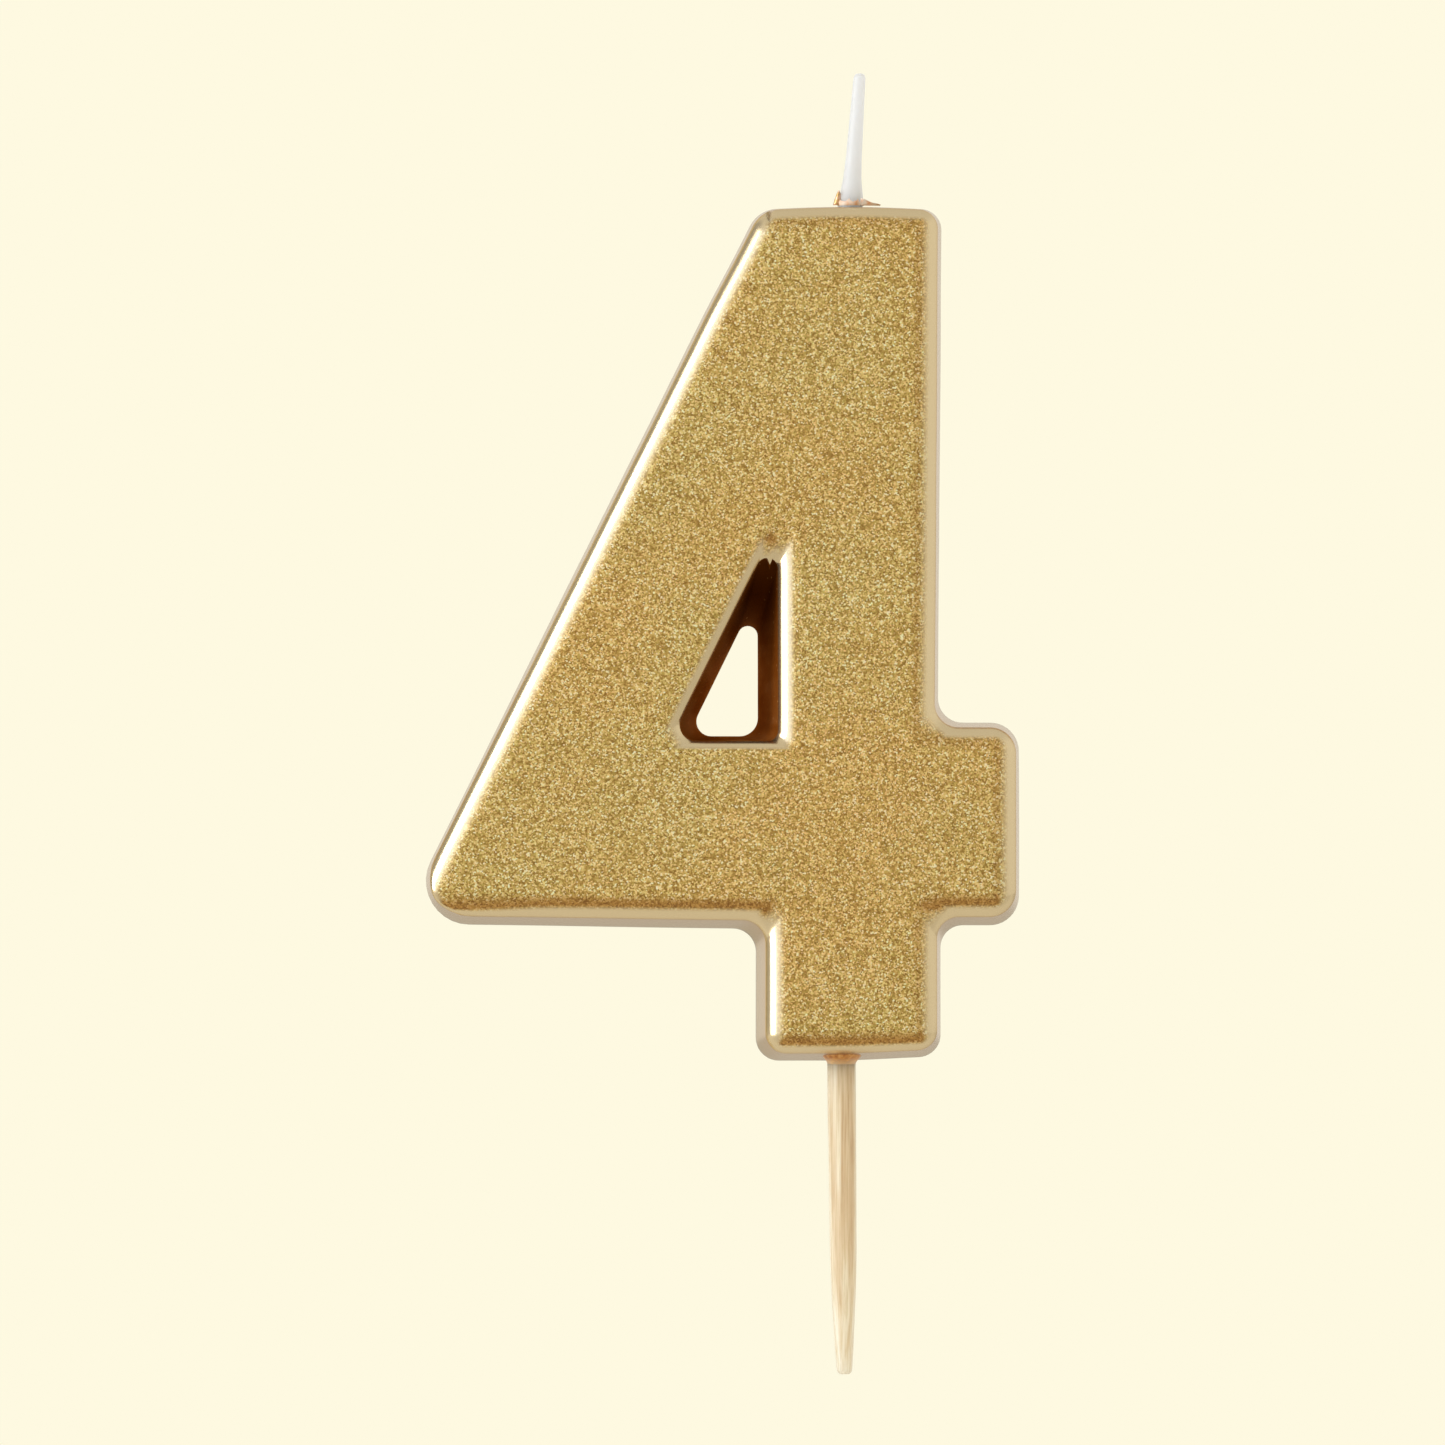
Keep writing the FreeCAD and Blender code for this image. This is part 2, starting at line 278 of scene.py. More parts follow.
class Nodes:
    """Short ways to add and link shader nodes."""

    def __init__(self, material):
        self.tree = material.node_tree

    def add(self, kind, inputs=(), **settings):
        node = self.tree.nodes.new(kind)
        for key, setting in settings.items():
            setattr(node, key, setting)
        for key, source in dict(inputs).items():
            self.put(node.inputs[key], source)
        return node

    def put(self, socket, source):
        if isinstance(source, bpy.types.NodeSocket):
            self.tree.links.new(source, socket)
        else:
            socket.default_value = source

    def place(self):
        return self.add("ShaderNodeTexCoord").outputs["Object"]

    def along(self, axis):
        """The place along one of the object's axes, in metres."""
        return self.add("ShaderNodeSeparateXYZ", {"Vector": self.place()}).outputs[axis]

    def zones(self):
        """The zone colour's three parts."""
        attribute = self.add("ShaderNodeAttribute", attribute_name="zone")
        return self.add("ShaderNodeSeparateColor", {"Color": attribute.outputs["Color"]}).outputs

    def spread(self, value, places, levels=(0.0, 1.0), smooth=False):
        """The first level at the first place and the second at the second, as the value moves."""
        inputs = dict(zip(("From Min", "From Max", "To Min", "To Max"), (*places, *levels)))
        course = "SMOOTHSTEP" if smooth else "LINEAR"
        node = self.add("ShaderNodeMapRange", {"Value": value, **inputs}, interpolation_type=course)
        return node.outputs["Result"]

    def seen_as(self, shown, other):
        """One shader for the camera, and another for the light and the reflections."""
        path = self.add("ShaderNodeLightPath").outputs["Is Camera Ray"]
        sources = {0: path, 1: other.outputs[0], 2: shown.outputs[0]}
        return self.add("ShaderNodeMixShader", sources).outputs[0]

    def stretched(self, scale):
        mapping = self.add("ShaderNodeMapping", {"Vector": self.place(), "Scale": scale})
        return mapping.outputs["Vector"]

    def noise(self, scale, detail=2.0, roughness=0.5, place=None):
        inputs = {"Scale": scale, "Detail": detail, "Roughness": roughness}
        inputs["Vector"] = place or self.place()
        return self.add("ShaderNodeTexNoise", inputs).outputs["Fac"]

    def ramp(self, amount, stops):
        ramp = self.add("ShaderNodeValToRGB", {"Fac": amount})
        points = ramp.color_ramp.elements
        while len(points) < len(stops):
            points.new(0.5)
        for point, (position, colour) in zip(points, stops):
            point.position = position
            point.color = (*colour, 1.0)
        return ramp.outputs["Color"]

    def mix(self, amount, first, second, blend="MIX", kind="RGBA"):
        """A mix of two colours or, where the kind is VECTOR, of two directions."""
        node = self.add("ShaderNodeMix", {"Factor": amount}, data_type=kind, blend_type=blend)

        def socket(sockets, name):
            return next(one for one in sockets if one.name == name and one.type == kind)

        for name, source in (("A", first), ("B", second)):
            if isinstance(source, tuple):
                source = (*source, 1.0)
            self.put(socket(node.inputs, name), source)
        return socket(node.outputs, "Result")

    def math(self, operation, first, second):
        node = self.add("ShaderNodeMath", operation=operation)
        self.put(node.inputs[0], first)
        self.put(node.inputs[1], second)
        return node.outputs[0]

    def plus(self, base, amount, gain):
        """The base plus the amount times the gain."""
        return self.math("ADD", base, self.math("MULTIPLY", amount, gain))

    def bump(self, height, distance, strength):
        inputs = {"Height": height, "Distance": distance, "Strength": strength}
        return self.add("ShaderNodeBump", inputs).outputs["Normal"]


GRAIN_SIZE = 0.00012


def gold_material():
    """Metallic gold lacquer: grain and painted glints on the flat faces, smooth and paler on edges and
    walls.
    """
    material, shader = new_material("gold_lacquer_paint")
    nodes = Nodes(material)
    edge, side, pooled_and_shade = nodes.zones()

    flakes = nodes.add("ShaderNodeTexVoronoi", {"Vector": nodes.place(), "Scale": 1.0 / GRAIN_SIZE})
    glint, tone, _ = nodes.add("ShaderNodeSeparateColor", {"Color": flakes.outputs["Color"]}).outputs
    mottle = nodes.noise(2200.0, 2.0)
    cloud = nodes.noise(60.0, 3.0)
    # the flakes' tones differ at random, and the two brightest stops are painted glints of flakes
    # catching light
    grain = nodes.ramp(glint, [
        (0.0, (0.31, 0.165, 0.020)),
        (0.5, (0.63, 0.430, 0.116)),
        (0.85, (0.99, 0.75, 0.34)),
        (1.0, (1.00, 0.98, 0.74)),
    ])
    hue = nodes.ramp(tone, [
        (0.0, (1.0, 0.88, 0.84)),
        (0.5, (1.0, 0.97, 0.92)),
        (1.0, (0.95, 1.0, 0.84)),
    ])
    face = nodes.mix(1.0, grain, hue, "MULTIPLY")
    shade = nodes.ramp(mottle, [(0.3, (0.86, 0.84, 0.80)), (0.7, (1.0, 1.0, 1.0))])
    face = nodes.mix(1.0, face, shade, "MULTIPLY")
    broad = nodes.ramp(cloud, [(0.4, (1.0, 0.95, 0.86)), (0.6, (0.97, 1.0, 0.96))])
    face = nodes.mix(1.0, face, broad, "MULTIPLY")
    smooth = nodes.mix(cloud, (0.74, 0.59, 0.35), (0.67, 0.53, 0.31))
    behind = nodes.spread(nodes.along("Y"), (-0.003, 0.005))
    wall = nodes.mix(behind, (0.70, 0.50, 0.20), (0.58, 0.48, 0.21))
    wall = nodes.mix(nodes.math("MULTIPLY", cloud, 0.3), wall, (0.50, 0.38, 0.17))
    # brown for the zone's blue: lacquer collected thick, and painted shade along edges and into the
    # counter
    brown = nodes.mix(glint, (0.22, 0.085, 0.008), (0.56, 0.28, 0.05))
    colour = nodes.mix(edge, face, smooth)
    colour = nodes.mix(side, colour, wall)
    colour = nodes.mix(pooled_and_shade, colour, brown)
    nodes.put(shader.inputs["Base Color"], colour)

    grainy = nodes.math("SUBTRACT", 1.0, nodes.math("MAXIMUM", edge, side))
    tilt = nodes.bump(glint, 0.00002, 0.2)
    flat = nodes.add("ShaderNodeNewGeometry").outputs["Normal"]
    normal = nodes.mix(grainy, flat, tilt, kind="VECTOR")
    nodes.put(shader.inputs["Normal"], normal)
    nodes.put(shader.inputs["Roughness"], nodes.plus(0.20, grainy, 0.25))
    shader.inputs["Specular Tint"].default_value = (0.66, 0.54, 0.42, 1.0)
    shader.inputs["Metallic"].default_value = 0.9
    shader.inputs["Coat Weight"].default_value = 0.6
    shader.inputs["Coat Roughness"].default_value = 0.4
    return material


def well_material():
    """Thick glossy lacquer on the counter's walls: dark amber brown, partly painted shade in the recess.
    """
    material, shader = new_material("counter_lacquer_and_painted_shade")
    nodes = Nodes(material)
    _, back_rim_painted_shade, _ = nodes.zones()
    run = nodes.noise(260.0, 3.0, 0.55, nodes.stretched((1.0, 0.15, 1.0)))
    speck = nodes.noise(3500.0, 1.0)
    deep = nodes.ramp(run, [
        (0.35, (0.230, 0.052, 0.004)),
        (0.50, (0.330, 0.092, 0.012)),
        (0.65, (0.430, 0.150, 0.034)),
    ])
    # painted shade, darker towards the counter's narrow apex; below, darker towards the opening
    top = nodes.spread(nodes.along("Z"), (0.032, 0.038))
    deep = nodes.mix(top, deep, (0.090, 0.018, 0.001))
    near = nodes.spread(nodes.along("Y"), (0.001, -0.004), (0.0, 0.7))
    deep = nodes.mix(near, deep, (0.09, 0.024, 0.002))
    light = nodes.ramp(speck, [(0.74, (0.0, 0.0, 0.0)), (0.80, (0.5, 0.32, 0.14))])
    colour = nodes.mix(1.0, deep, light, "ADD")
    # painted shade: a near-black line on the rounded back rim
    nodes.put(shader.inputs["Base Color"], nodes.mix(back_rim_painted_shade, colour, (0.02, 0.006, 0.002)))
    nodes.put(shader.inputs["Normal"], nodes.bump(run, 0.0002, 0.25))
    shader.inputs["Specular IOR Level"].default_value = 0.0
    shader.inputs["Roughness"].default_value = 0.4
    return material


def amber_material():
    """Lacquer that has run together thick enough to look brown."""
    material, shader = new_material("pooled_lacquer")
    nodes = Nodes(material)
    streak = nodes.noise(2500.0, 4.0, 0.6, nodes.stretched((1.0, 1.0, 0.4)))
    deep = nodes.ramp(streak, [
        (0.35, (0.40, 0.13, 0.018)),
        (0.5, (0.56, 0.24, 0.05)),
        (0.68, (0.74, 0.42, 0.14)),
    ])
    ragged = nodes.plus(nodes.along("Z"), streak, 0.0006)
    thin = nodes.spread(ragged, (0.0005, -0.0003))
    colour = nodes.mix(thin, deep, (0.82, 0.67, 0.44))
    nodes.put(shader.inputs["Base Color"], colour)
    nodes.put(shader.inputs["Normal"], nodes.bump(streak, 0.00008, 0.5))
    shader.inputs["Metallic"].default_value = 0.35
    shader.inputs["Roughness"].default_value = 0.35
    return material


def torn_material():
    """The outer side of the torn film: gold, and peach and pink where it is thin."""
    material, shader = new_material("torn_lacquer")
    nodes = Nodes(material)
    patch = nodes.noise(1800.0, 3.0, 0.6)
    colour = nodes.ramp(patch, [
        (0.35, (0.50, 0.30, 0.08)),
        (0.52, (0.66, 0.40, 0.18)),
        (0.62, (0.80, 0.50, 0.36)),
    ])
    nodes.put(shader.inputs["Base Color"], colour)
    nodes.put(shader.inputs["Normal"], nodes.bump(patch, 0.00006, 0.5))
    shader.inputs["Metallic"].default_value = 0.5
    shader.inputs["Roughness"].default_value = 0.35
    return material


def film_material():
    """The inner side of the torn film: pale peach and pink."""
    material, shader = new_material("film_inside")
    nodes = Nodes(material)
    patch = nodes.noise(1500.0, 2.0)
    colour = nodes.ramp(patch, [
        (0.35, (0.80, 0.42, 0.22)),
        (0.50, (0.86, 0.66, 0.52)),
        (0.65, (0.90, 0.82, 0.74)),
    ])
    nodes.put(shader.inputs["Base Color"], colour)
    nodes.put(shader.inputs["Normal"], nodes.bump(patch, 0.00005, 0.4))
    shader.inputs["Roughness"].default_value = 0.4
    return material


def wax_material(name, light, dark, glow):
    """Translucent wax with faint clouding."""
    material, shader = new_material(name)
    nodes = Nodes(material)
    cloud = nodes.noise(900.0, 4.0, 0.6, nodes.stretched((1.0, 1.0, 0.25)))
    colour = nodes.ramp(cloud, [(0.35, dark), (0.65, light)])
    nodes.put(shader.inputs["Base Color"], colour)
    nodes.put(shader.inputs["Normal"], nodes.bump(cloud, 0.00005, 0.35))
    nodes.put(shader.inputs["Roughness"], nodes.plus(0.38, cloud, 0.2))
    shader.inputs["Subsurface Weight"].default_value = glow
    shader.inputs["Subsurface Radius"].default_value = (1.0, 0.9, 0.8)
    shader.inputs["Subsurface Scale"].default_value = 0.012
    return material


def cotton_material():
    """Twisted cotton: fine fibres along the strand."""
    material, shader = new_material("cotton_strand")
    nodes = Nodes(material)
    fibre = nodes.noise(6000.0, 3.0, 0.6, nodes.stretched((1.0, 1.0, 0.12)))
    colour = nodes.ramp(fibre, [(0.3, (0.68, 0.66, 0.62)), (0.7, (0.88, 0.87, 0.84))])
    nodes.put(shader.inputs["Base Color"], colour)
    nodes.put(shader.inputs["Normal"], nodes.bump(fibre, 0.00004, 0.6))
    shader.inputs["Roughness"].default_value = 0.85
    shader.inputs["Sheen Weight"].default_value = 0.3
    return material


def wood_material():
    """Pale birch: long fine streaks, with darker pores."""
    material, shader = new_material("birch_pick")
    nodes = Nodes(material)
    along = nodes.stretched((1.0, 1.0, 0.035))
    broad = nodes.noise(1500.0, 3.0, 0.55, along)
    fine = nodes.noise(6500.0, 4.0, 0.65, along)
    base = nodes.ramp(broad, [
        (0.36, (0.48, 0.36, 0.23)),
        (0.50, (0.58, 0.47, 0.33)),
        (0.64, (0.68, 0.60, 0.46)),
    ])
    pores = nodes.ramp(fine, [(0.38, (0.80, 0.74, 0.66)), (0.55, (1.0, 1.0, 1.0))])
    nodes.put(shader.inputs["Base Color"], nodes.mix(0.8, base, pores, "MULTIPLY"))
    nodes.put(shader.inputs["Normal"], nodes.bump(fine, 0.00005, 0.45))
    nodes.put(shader.inputs["Roughness"], nodes.plus(0.45, broad, 0.25))
    shader.inputs["Subsurface Weight"].default_value = 1.0
    shader.inputs["Subsurface Radius"].default_value = (1.0, 0.9, 0.8)
    shader.inputs["Subsurface Scale"].default_value = 0.008
    return material


# ---------------------------------------------------------------- the gold figure

FACE_CORNERS = [
    Vector((STEM_LEFT + 0.17, TOP)),
    Vector((STEM_RIGHT + 0.12, TOP)),
    Vector((STEM_RIGHT - 0.2, ARM_TOP)),
    Vector((ARM_REACH, ARM_TOP)),
    Vector((ARM_REACH, ARM_BOTTOM)),
    Vector((STEM_RIGHT, ARM_BOTTOM)),
    Vector((STEM_RIGHT, 0.0)),
    Vector((STEM_LEFT, 0.0)),
    Vector((STEM_LEFT, ARM_BOTTOM - 0.3)),
    Vector((TIP_CORNER, ARM_BOTTOM + 0.1)),
]
# the corners' radii in the same order, on the wall and on the face
BACK_RADII = [2.4, 1.6, 2.0, 2.3, 2.4, 1.8, 1.8, 1.9, 1.9, 3.6]
FACE_RADII = [1.8, 0.3, 1.4, 0.4, 0.4, 1.4, 0.3, 0.3, 1.0, 0.5]
COUNTER_CORNERS = [
    Vector((COUNTER_RIGHT, COUNTER_APEX)),
    Vector((COUNTER_RIGHT, COUNTER_BOTTOM)),
    Vector((COUNTER_LEFT, COUNTER_BOTTOM)),
]
# the counter's corner radii on the face, where the rim starts, where it ends, and at the back
COUNTER_FACE_RADII = [1.9, 0.5, 1.0]
COUNTER_RIM_RADII = [1.6, 0.5, 0.9]
COUNTER_WALL_RADII = [0.8, 0.9, 1.3]
COUNTER_BACK_RADII = [0.8, 1.5, 1.2]
# the counter narrows towards the back: its right side, its floor, its long side
COUNTER_LEAN = [1.38, 0.58, 1.05]
# the floor's rim is this much of the long side's
FLOOR_SHARE = 0.75

SPAN_LENGTH = 1.6
ARC_STEPS = 10
ROLL_STEPS = 22
RIM_STEPS = 18
WALL_STEPS = 9
BACK_STEPS = 3
# how far the flat face and back reach past the edge before their grid of points starts
MARGIN = 0.5


def spans_of(corners):
    sides = zip(corners, corners[1:] + corners[:1])
    return [max(2, round((there - here).length / SPAN_LENGTH)) for here, there in sides]


def rolled(radii, steps):
    """(tilt, moved across, sunk) from the flat face at tilt 0 to the wall, for radii at tilts."""
    fine_steps = 8
    small = radii[-1][0] / steps / fine_steps
    across = sunk = 0.0
    track = [(0.0, 0.0, 0.0)]
    for step in range(steps):
        for part in range(fine_steps):
            tilt = (step * fine_steps + part + 0.5) * small
            length = straight_between(radii, tilt) * math.radians(small)
            across += length * math.cos(math.radians(tilt))
            sunk += length * math.sin(math.radians(tilt))
        track.append(((step + 1) * fine_steps * small, across, sunk))
    return track


# the casting's unevenness: how far the top falls to its ends, how far the foot rises to the right,
# and the height and length of its soft and fine waves
STEM_MIDDLE = 0.4
STEM_HALF = 7.6
CROWN = 0.28
FOOT_RISE = 0.33
SOFT_HEIGHT, SOFT_LENGTH = 0.10, 16.0
FINE_HEIGHT, FINE_LENGTH = 0.02, 5.0
# the waves' starting points come from the clock unless they are seeded
WAVE_SEED = 79
noise.seed_set(WAVE_SEED)


def settled(point):
    """Small unevenness of a hand-finished casting: a crowned top, a foot that rises, soft waves."""
    x, y, z = point
    crown = CROWN * ((x - STEM_MIDDLE) / STEM_HALF) ** 2 * ease(TOP - 9.0, TOP - 0.5, z)
    lift = FOOT_RISE * ease(-1.0, STEM_RIGHT + 0.5, x) * ease(5.0, 0.5, z)
    soft = noise.noise_vector(Vector((x, y, z)) / SOFT_LENGTH) * SOFT_HEIGHT
    fine = noise.noise_vector(Vector((x + 40.0, y, z)) / FINE_LENGTH) * FINE_HEIGHT
    shift = soft + fine
    off_back = 1.0 - ease(BACK - 1.5, BACK, y)
    return Vector((x + shift.x * 0.7, y + shift.y * off_back * 0.5, z - crown + lift + shift.z * 0.4))


def outline_ring(wall, roll, part_round):
    """The outline after each wall leans in by its share of wall, and every side by roll as well."""
    radii = blended(BACK_RADII, FACE_RADII, part_round)
    leans = [wall * WALL_LEAN + roll] * (len(FACE_CORNERS) - 1) + [wall * SLOPE_LEAN + roll]
    corners = moved_in(FACE_CORNERS, leans)
    return rounded_loop(corners, radii, ARC_STEPS, spans_of(FACE_CORNERS))


def counter_ring(leans, radii):
    """The counter's outline after its sides move towards its middle by the leans."""
    corners = moved_in(COUNTER_CORNERS, leans)
    return rounded_loop(corners, radii, ARC_STEPS, spans_of(COUNTER_CORNERS))


def at_depth(loop, depth):
    return [Vector((point.x, depth, point.y)) for point in loop]


# the corners change this much on the wall, and the rest on the roll, fast at first
WALL_CHANGE = 0.12
CHANGE_POWER = 2.2


def outer_levels():
    """(wall share, roll, depth, share of corner change, zone) from the back to the face."""
    levels = [(0.0, BACK_ROUND + MARGIN, BACK, 0.0, BEHIND), (0.0, BACK_ROUND, BACK, 0.0, BEHIND)]
    for step in range(1, BACK_STEPS + 1):
        swing = math.radians(90 * step / BACK_STEPS)
        roll = BACK_ROUND * (1 - math.sin(swing))
        levels.append((0.0, roll, BACK - BACK_ROUND * (1 - math.cos(swing)), 0.0, SIDE))
    track = rolled(ROLL_RADII, ROLL_STEPS)
    _, width, drop = track[-1]
    wall_start = BACK - BACK_ROUND
    for step in range(1, WALL_STEPS + 1):
        part = step / WALL_STEPS
        depth = wall_start + (FRONT + drop - wall_start) * part
        levels.append((part, 0.0, depth, WALL_CHANGE * part, SIDE))
    for _, across, sunk in reversed(track[:-1]):
        change = 1.0 - (across / width) ** CHANGE_POWER
        change = WALL_CHANGE + (1.0 - WALL_CHANGE) * change
        levels.append((1.0, width - across, FRONT + sunk, change, FLAT))
    levels.append((1.0, width + MARGIN, FRONT, 1.0, FLAT))
    return levels


# the deep lacquer starts on the rim at this tilt
WELL_TILT = 60.0
# the flat back's first ring lies this far from its rounded edge
EDGE_GAP = 0.15


def counter_levels():
    """(leans, the right side's depth and the others', corner radii, zone, slot) from face to back."""
    track = rolled(RIM_RADII, RIM_STEPS)
    broad = rolled(BROAD_RIM_RADII, RIM_STEPS)
    _, width, drop = track[-1]
    _, broad_width, broad_drop = broad[-1]

    def rim_leans(beyond, broad_beyond):
        return [-broad_beyond, -beyond * FLOOR_SHARE, -beyond]

    leans = rim_leans(width + MARGIN, broad_width + MARGIN)
    levels = [(leans, (FRONT, FRONT), COUNTER_FACE_RADII, FLAT, 0)]
    for (tilt, across, sunk), (_, broad_across, broad_sunk) in zip(track, broad):
        leans = rim_leans(width - across, broad_width - broad_across)
        radii = blended(COUNTER_RIM_RADII, COUNTER_WALL_RADII, across / width)
        slot = 1 if tilt > WELL_TILT else 0
        levels.append((leans, (FRONT + broad_sunk, FRONT + sunk), radii, FLAT, slot))
    wall_starts = (FRONT + broad_drop, FRONT + drop)
    wall_end = BACK - BACK_ROUND
    for step in range(1, WALL_STEPS + 1):
        part = step / WALL_STEPS
        leans = [lean * part for lean in COUNTER_LEAN]
        depths = blended(wall_starts, (wall_end, wall_end), part)
        radii = blended(COUNTER_WALL_RADII, COUNTER_BACK_RADII, part)
        levels.append((leans, depths, radii, FLAT, 1))
    # the rounded back rim takes the wall zone, which the counter's material shows as a painted shade line
    for step in range(1, BACK_STEPS + 1):
        swing = math.radians(90 * step / BACK_STEPS)
        leans = [lean - BACK_ROUND * (1 - math.cos(swing)) for lean in COUNTER_LEAN]
        depth = wall_end + BACK_ROUND * math.sin(swing)
        levels.append((leans, (depth, depth), COUNTER_BACK_RADII, SIDE, 1))
    for out in (BACK_ROUND + EDGE_GAP, BACK_ROUND + MARGIN):
        leans = [lean - out for lean in COUNTER_LEAN]
        levels.append((leans, (BACK, BACK), COUNTER_BACK_RADII, BEHIND, 0))
    return levels


# the counter's corners pass from one depth to the other over this distance from the right side
DEPTH_CHANGE = 0.9


def at_depths(loop, right_depth, depth):
    """A counter ring's points: its right side lies at a depth of its own, and its corners between."""
    right = max(point.x for point in loop)
    points = []
    for point in loop:
        share = ease(DEPTH_CHANGE, 0.0, right - point.x)
        points.append(Vector((point.x, depth + (right_depth - depth) * share, point.y)))
    return points


# a pooled dimple in the face above the counter's apex, and a tongue of lacquer at the apex
DIMPLE = Vector((COUNTER_RIGHT - 0.55, COUNTER_APEX - 1.0))
DIMPLE_REACH = 0.55
DIMPLE_DEPTH = 0.22
TONGUE = COUNTER_RIGHT - 0.62
TONGUE_HALF = 0.22
TONGUE_LENGTH = 0.85
# the figure's left tip, where the grain reaches further round the edge
TIP = FACE_CORNERS[-1] + Vector((4.5, 2.5))
TIP_REACH = 5.0
# the counter's rim and walls lie inside this triangle, and the figure's outer edge outside it
RIM_REACH = moved_in(COUNTER_CORNERS, [-3.8, -3.0, -3.0])

# how squarely the surface faces sideways, or up or down, from not at all to fully
SIDEWAYS = (0.3, 0.8)
UPWARDS = (0.2, 0.7)
# tilts from the face in degrees, over which a zone comes in
RIM_SMOOTH = (10.0, 26.0)
# brown on the counter's rim over these tilts: thick lacquer and painted shade going into the counter
RIM_BROWN = (44.0, 64.0)
# on edges facing the key light the pale smooth colour comes in over these tilts, as a painted highlight
KEY_SIDE_PAINTED_HIGHLIGHT = (8.0, 30.0)
# painted shade: brown on the arm's top edge over these tilts
ARM_TOP_PAINTED_SHADE = (52.0, 70.0)
TONGUE_TILTS = (20.0, 50.0)
WALL_TILT = 85.0


def rim_zones(tilt):
    """(edge, side, brown) on the counter's rim: brown for thick lacquer and painted shade going into the
    counter.
    """
    return ease(*RIM_SMOOTH, tilt), 0.0, ease(*RIM_BROWN, tilt)


def edge_zones(place, outwards, tilt):
    """(edge, side, brown) on the figure's outer edge, by where it is, where it faces and its tilt:
    painted highlight and painted shade.
    """
    # facing the key light, the pale smooth colour reaches further in as a painted highlight
    key_side = ease(*SIDEWAYS, -outwards.x)
    right = ease(*SIDEWAYS, outwards.x)
    below = ease(*UPWARDS, -outwards.y)
    above = ease(*UPWARDS, outwards.y)
    at_foot = 7.0 * below if place.y < 5.0 else 0.0
    at_tip = 14.0 * math.exp(-((place - TIP).length / TIP_REACH) ** 2)
    start = 22.0 - 10.0 * right + at_foot + at_tip
    plain = ease(start, start + 12.0 + 12.0 * right, tilt)
    soft = ease(*KEY_SIDE_PAINTED_HIGHLIGHT, tilt)
    side = ease(66.0 - 16.0 * key_side, 80.0 - 6.0 * key_side, tilt)
    edge = (plain + (soft - plain) * key_side) * (1.0 - side)
    # a brown line of painted shade along edges that face away from the key light, strongest on undersides
    edge_line_painted_shade = ease(2.0, start - 4.0, tilt) * (1.0 - ease(start, start + 8.0, tilt))
    pooled_and_shade = (0.30 + 0.60 * below) * edge_line_painted_shade * (1.0 - key_side)
    # painted shade in brown along the arm's top edge
    if place.y < ARM_TOP + 3.0:
        pooled_and_shade = max(pooled_and_shade, 0.7 * above * ease(*ARM_TOP_PAINTED_SHADE, tilt))
    return edge, side, pooled_and_shade


def finish_front(vert, zone):
    """Colours the face, rolls and rims by the surface's tilt, and adds the dimple and the tongue."""
    tilt = math.degrees(math.acos(max(-1.0, min(1.0, -vert.normal.y))))
    place = Vector((vert.co.x, vert.co.z))
    if geometry.intersect_point_tri_2d(place, *RIM_REACH):
        edge, side, pooled_and_shade = rim_zones(tilt)
    else:
        outwards = Vector((vert.normal.x, vert.normal.z)).normalized()
        edge, side, pooled_and_shade = edge_zones(place, outwards, tilt)
    dent = math.exp(-((place - DIMPLE).length / DIMPLE_REACH) ** 2)
    if vert[zone][1] == 0.0 and vert[zone][2] == 0.0:
        vert[zone] = (edge * (1.0 - dent), side, max(pooled_and_shade, dent), 1.0)
    vert.co.y += DIMPLE_DEPTH * dent
    if TONGUE_TILTS[0] < tilt < WALL_TILT and place.y > COUNTER_APEX - 3.0:
        share = max(0.0, 1.0 - abs(place.x - TONGUE) / TONGUE_HALF)
        vert.co.z -= TONGUE_LENGTH * share * ease(*TONGUE_TILTS, tilt)


# the smear of brown lacquer under the figure: how far it reaches from the pick, and over which depths
SMEAR_REACH = 1.5
SMEAR_DEPTHS = (-4.6, -3.4)


def smear_foot(vert, zone):
    """Brown lacquer that has run together under the figure, round the pick."""
    if vert.normal.z < -0.6 and vert.co.z < 2.0:
        near = math.exp(-((vert.co.x - pick_centre(0.0).x) / SMEAR_REACH) ** 2)
        red, green, blue, _ = vert[zone]
        smear = 0.75 * near * ease(*SMEAR_DEPTHS, vert.co.y)
        vert[zone] = (red, green, max(blue, smear), 1.0)


# the spacing of the points in the flat face and in the flat back
FACE_SPACING = 1.5
BACK_SPACING = 3.0


def build_figure(gold, well):
    """The gold surface: walls, rolled edge, face, counter and back as one closed mesh."""
    shell = Shell()
    outer, inner = [], []
    for wall, roll, depth, part, zone in outer_levels():
        loop = outline_ring(wall, roll, part)
        outer.append((loop, at_depth(loop, depth), zone, 0))
    for leans, depths, radii, zone, slot in counter_levels():
        loop = counter_ring(leans, radii)
        inner.append((loop, at_depths(loop, *depths), zone, slot))
    for levels in (outer, inner):
        rings = [shell.ring(points, zone) for _, points, zone, _ in levels]
        slots = [slot for _, _, _, slot in levels]
        for first, second, slot in zip(rings, rings[1:], slots[1:]):
            shell.join(first, second, slot)
    fill_between(shell, outer[-1][0], inner[0][0], FRONT, FLAT, FACE_SPACING)
    fill_between(shell, outer[0][0], inner[-1][0], BACK, BEHIND, BACK_SPACING)
    shell.weld()
    shell.mesh.normal_update()
    for vert in shell.mesh.verts:
        if vert.co.y < 0.0:
            finish_front(vert, shell.zone)
        smear_foot(vert, shell.zone)
        vert.co = settled(vert.co)
    return shell.finish("gold_figure", gold, well)


